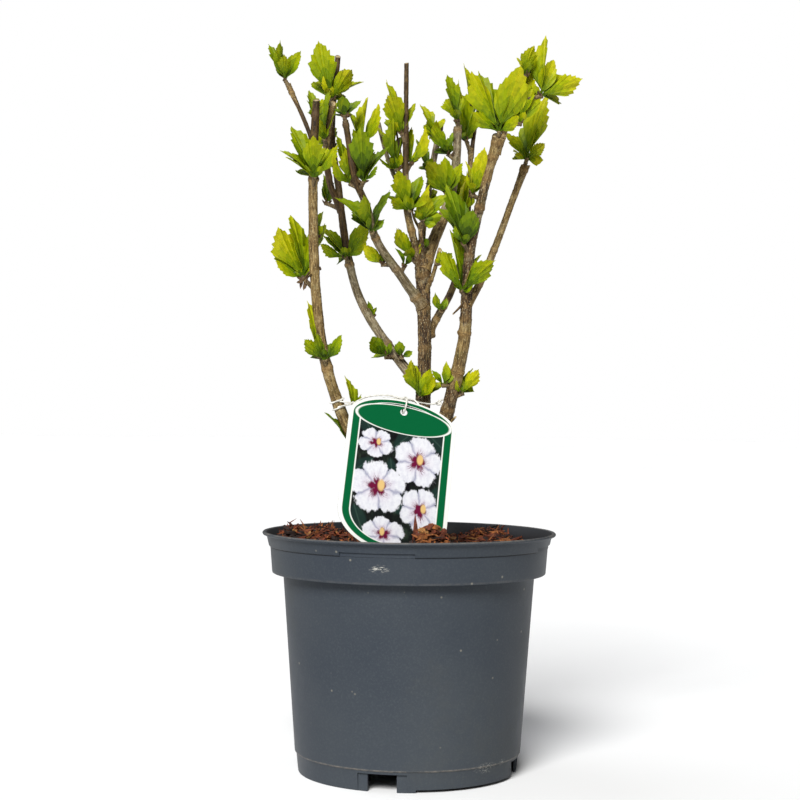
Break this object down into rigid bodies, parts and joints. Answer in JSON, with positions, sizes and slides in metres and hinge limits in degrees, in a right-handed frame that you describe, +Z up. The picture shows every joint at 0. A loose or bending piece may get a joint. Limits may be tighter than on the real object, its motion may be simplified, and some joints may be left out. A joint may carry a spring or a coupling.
{
  "type": "potted shrub",
  "caption": "Young rose of sharon in a round nursery pot: upright bare pruned stems with tufts of new spring leaves, and a plant label tied to a stem.",
  "frame": {"origin": "middle of the pot's underside, on the plane that the pot stands on", "axes": "+Z up, +X to the right as seen from the front, -Y towards the viewer and the label's printed face"},
  "size_m": [0.2345, 0.23, 0.5796],
  "materials": {
    "pot": "slate-grey moulded plastic, satin, slightly dusty",
    "soil": "dark potting compost dressed with red-brown bark chips",
    "label": "printed white plastic card, satin",
    "tie": "off-white string",
    "bark": "grey-brown fissured bark, smoother and paler on the younger stems",
    "leaf": "thin satin leaves, lime green with deeper green bases"
  },
  "bodies": {
    "root": {"pot": "pot", "soil": "soil", "label": "label", "trunk": "bark", "left_stem": "bark", "left_side_twig": "bark", "inner_left_stem": "bark", "inner_left_branch": "bark", "mid_left_stem": "bark", "centre_stem": "bark", "centre_side_twig": "bark", "dead_stub": "bark", "back_right_stem": "bark", "back_centre_stem": "bark", "right_stem": "bark", "right_outer_twig": "bark", "right_top_twig": "bark", "inner_right_stem": "bark", "back_dark_twig": "bark", "trunk_shoot": "bark", "label_tie": "tie", "left_stem_tip_leaves": "leaf", "left_stem_upper_leaves": "leaf", "left_stem_middle_leaves": "leaf", "left_stem_lower_leaves": "leaf", "left_stem_foot_leaves": "leaf", "left_twig_leaves": "leaf", "inner_left_top_leaves": "leaf", "inner_left_middle_leaves": "leaf", "inner_left_lower_leaves": "leaf", "inner_left_bud": "leaf", "inner_left_fork_leaves": "leaf", "inner_left_branch_leaves": "leaf", "mid_left_upper_leaves": "leaf", "mid_left_shoot_leaves": "leaf", "mid_left_top_leaves": "leaf", "mid_left_bend_leaves": "leaf", "mid_left_lower_leaf": "leaf", "mid_left_spur_leaves": "leaf", "centre_lower_leaves": "leaf", "centre_top_leaves": "leaf", "centre_left_leaves": "leaf", "centre_right_leaves": "leaf", "dead_stub_leaves": "leaf", "back_right_leaves": "leaf", "back_centre_top_leaves": "leaf", "back_centre_leaf": "leaf", "trunk_front_leaves": "leaf", "trunk_fork_leaves": "leaf", "right_stem_foot_leaves": "leaf", "right_stem_middle_leaves": "leaf", "right_stem_upper_leaves": "leaf", "right_stem_side_leaves": "leaf", "right_stem_top_leaves": "leaf", "right_outer_top_leaves": "leaf", "right_top_side_leaves": "leaf", "right_top_leaves": "leaf", "inner_right_lower_leaves": "leaf", "inner_right_middle_leaves": "leaf", "inner_right_top_leaves": "leaf"}
  },
  "joints": []
}
